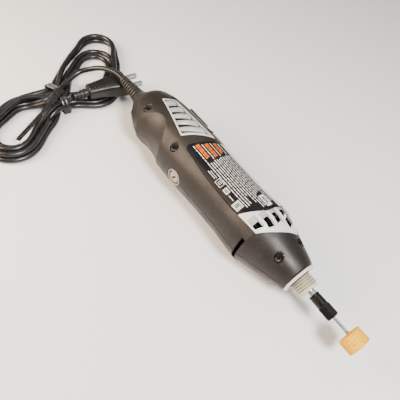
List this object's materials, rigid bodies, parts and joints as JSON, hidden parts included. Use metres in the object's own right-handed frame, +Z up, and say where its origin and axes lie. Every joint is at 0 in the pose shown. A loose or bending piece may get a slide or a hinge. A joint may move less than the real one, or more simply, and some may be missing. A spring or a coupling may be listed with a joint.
{
  "type": "corded rotary hobby tool",
  "caption": "Hand-held corded rotary tool: round tapered housing with louvred vents, threaded nose, collet nut, small grinding stone, and a tied mains lead with a flat-blade plug.",
  "frame": {"origin": "middle of the bounding box of the tool without its free lead, on the surface that the tool lies on", "axes": "+X along the spindle towards the grinding stone, +Z up, +Y to the left of someone looking along +X"},
  "size_m": [0.4244, 0.1841, 0.0576],
  "materials": {
    "grip_plastic": "matte",
    "silver_plastic": "satin",
    "label": "gloss",
    "cream_plastic": "satin",
    "fan_plastic": "satin",
    "cap_plastic": "satin",
    "black_plastic": "satin",
    "rubber": "matte",
    "cord_sheath": "satin",
    "cord_tie": "satin",
    "steel": "satin",
    "bright_steel": "polished",
    "black_steel": "satin",
    "laminations": "satin",
    "copper": "satin",
    "brass": "satin",
    "carbon": "matte",
    "grinding_stone": "matte"
  },
  "bodies": {
    "tool": {"upper_housing": "grip_plastic", "lower_housing": "grip_plastic", "upper_louvre": "silver_plastic", "lower_louvre": "silver_plastic", "upper_front_vent": "silver_plastic", "lower_front_vent": "silver_plastic", "upper_side_trim": "silver_plastic", "lower_side_trim": "silver_plastic", "nose_ring": "silver_plastic", "upper_label": "label", "lower_label": "label", "housing_screw_1_left": "black_steel", "housing_screw_1_right": "black_steel", "housing_screw_2_left": "black_steel", "housing_screw_2_right": "black_steel", "housing_screw_3_left": "black_steel", "housing_screw_3_right": "black_steel", "threaded_nose": "cream_plastic", "field_core": "laminations", "field_coil_upper": "copper", "field_coil_lower": "copper", "brush_cap_left": "cap_plastic", "brush_cap_right": "cap_plastic", "brush_holder_left": "brass", "brush_holder_right": "brass", "carbon_brush_left": "carbon", "carbon_brush_right": "carbon", "brush_spring_left": "steel", "brush_spring_right": "steel", "clamp_screw_left": "steel", "clamp_screw_right": "steel", "front_bearing_outer": "steel", "rear_bearing_outer": "steel", "rear_bearing_sleeve": "rubber", "switch_module": "black_plastic", "lock_spring": "steel", "strain_relief": "rubber", "cord_tail": "cord_sheath", "cord_clamp": "black_plastic", "cord": "cord_sheath", "cord_hank": "cord_sheath", "hank_tie": "cord_tie", "plug_body": "cord_sheath", "plug_blade_left": "bright_steel", "plug_blade_right": "bright_steel"},
    "spindle": {"spindle_shaft": "steel", "collet": "steel", "armature_core": "laminations", "armature_winding": "copper", "commutator": "copper", "cooling_fan": "fan_plastic", "front_bearing_inner": "steel", "rear_bearing_inner": "steel"},
    "collet_nut": {"collet_nut": "black_steel"},
    "bit": {"bit_shank": "bright_steel", "grinding_stone": "grinding_stone"},
    "speed_slider": {"speed_slider": "black_plastic"},
    "lock_button": {"lock_button": "black_plastic"}
  },
  "joints": [
    {"name": "spindle_spin", "type": "hinge", "parent": "tool", "child": "spindle", "pos_m": [0, 0, 0.0288], "axis": [1, 0, 0], "continuous": true},
    {"name": "collet_nut_turn", "type": "hinge", "parent": "spindle", "child": "collet_nut", "pos_m": [0.1258, 0, 0.0288], "axis": [1, 0, 0], "range_deg": [0, 360]},
    {"name": "bit_pull", "type": "slide", "parent": "spindle", "child": "bit", "axis": [1, 0, 0], "range_m": [0, 0.022]},
    {"name": "speed_slide", "type": "slide", "parent": "tool", "child": "speed_slider", "axis": [1, 0, 0], "range_m": [0, 0.006]},
    {"name": "lock_press", "type": "slide", "parent": "tool", "child": "lock_button", "axis": [0, 0, 1], "range_m": [0, 0.003], "stiffness_N_per_m": 400, "deforming": ["lock_spring"]}
  ]
}
